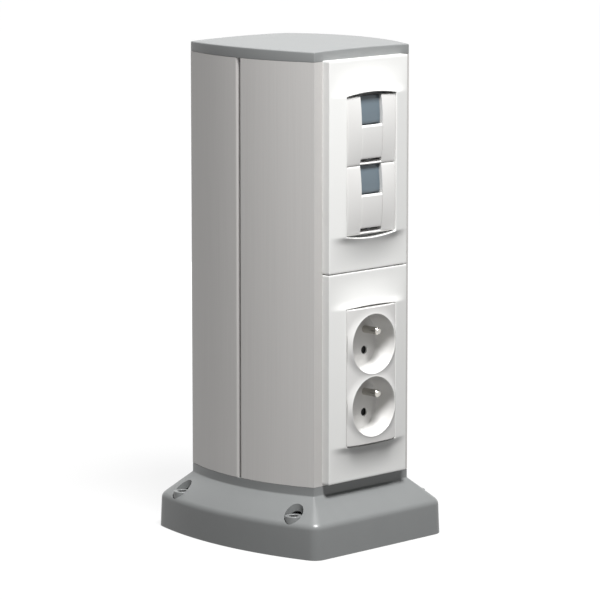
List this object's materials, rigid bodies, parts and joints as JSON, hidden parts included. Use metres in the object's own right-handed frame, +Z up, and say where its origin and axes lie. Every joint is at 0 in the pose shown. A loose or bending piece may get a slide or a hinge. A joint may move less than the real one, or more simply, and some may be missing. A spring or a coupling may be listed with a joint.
{
  "type": "mini power column",
  "caption": "Short free-standing power and data column: aluminium profile on a flared grey base, domed cap, white front panels with shuttered data outlets and round-well mains sockets.",
  "frame": {"origin": "centre of the base's footprint, on the floor", "axes": "+Z up; +X to the right when facing the sockets; -Y is the way the sockets face"},
  "size_m": [0.1422, 0.1522, 0.3276],
  "materials": {
    "anodised_aluminium": "satin natural anodised extrusion",
    "grey_moulding": "fine spark-textured grey moulding",
    "white_panel": "satin white moulding",
    "device_white": "semi-gloss white moulding",
    "blue_grey_shutter": "semi-gloss blue-grey moulding",
    "nickel_brass": "nickel-plated turned brass",
    "brass": "stamped brass",
    "zinc_steel": "bright zinc-plated steel",
    "spring_steel": "drawn spring wire",
    "rubber": "moulded black rubber",
    "insulation": "grey moulded polycarbonate",
    "dark_shutter": "dark moulded polyamide",
    "jack_body": "dark moulded polycarbonate",
    "gold_contact": "gold-plated wire"
  },
  "bodies": {
    "column": {"base_plate": "zinc_steel", "cable_grommet": "rubber", "base_cover": "grey_moulding", "cover_screws": "zinc_steel", "cover_pillars": "zinc_steel", "column_foot": "zinc_steel", "foot_screws": "zinc_steel", "front_profile": "anodised_aluminium", "rear_profile": "anodised_aluminium", "web_bolts": "zinc_steel", "web_nuts": "zinc_steel", "top_cap": "grey_moulding", "lower_panel": "white_panel", "upper_panel": "white_panel", "rear_panel": "white_panel", "lower_carrier": "insulation", "upper_carrier": "insulation", "socket_plate": "device_white", "socket_housing": "insulation", "housing_cover": "insulation", "live_bar": "brass", "neutral_bar": "brass", "earth_bar": "brass", "terminal_screws": "zinc_steel", "earth_pin_upper": "nickel_brass", "earth_pin_lower": "nickel_brass", "safety_spring_upper": "spring_steel", "safety_spring_lower": "spring_steel", "earth_clamp": "brass", "data_frame_upper": "device_white", "label_panel_upper": "device_white", "shutter_spring_upper": "spring_steel", "jack_upper": "jack_body", "jack_contacts_upper": "gold_contact", "wire_cap_upper": "insulation", "data_frame_lower": "device_white", "label_panel_lower": "device_white", "shutter_spring_lower": "spring_steel", "jack_lower": "jack_body", "jack_contacts_lower": "gold_contact", "wire_cap_lower": "insulation"},
    "upper_dust_shutter": {"data_shutter_upper": "blue_grey_shutter"},
    "lower_dust_shutter": {"data_shutter_lower": "blue_grey_shutter"},
    "upper_safety_disc": {"safety_shutter_upper": "dark_shutter"},
    "lower_safety_disc": {"safety_shutter_lower": "dark_shutter"}
  },
  "joints": [
    {"name": "upper_shutter_slide", "type": "slide", "parent": "column", "child": "upper_dust_shutter", "axis": [0, 0, -1], "range_m": [0, 0.016], "stiffness_N_per_m": 25, "springref_m": -0.01, "deforming": ["shutter_spring_upper"]},
    {"name": "lower_shutter_slide", "type": "slide", "parent": "column", "child": "lower_dust_shutter", "axis": [0, 0, -1], "range_m": [0, 0.016], "stiffness_N_per_m": 25, "springref_m": -0.01, "deforming": ["shutter_spring_lower"]},
    {"name": "upper_disc_turn", "type": "hinge", "parent": "column", "child": "upper_safety_disc", "pos_m": [0, -0.0503, 0.1342], "axis": [0, 1, 0], "range_deg": [0, 44], "stiffness_Nm_per_rad": 0.004, "springref_deg": -22.92},
    {"name": "lower_disc_turn", "type": "hinge", "parent": "column", "child": "lower_safety_disc", "pos_m": [0, -0.0503, 0.0928], "axis": [0, 1, 0], "range_deg": [0, 44], "stiffness_Nm_per_rad": 0.004, "springref_deg": -22.92}
  ]
}
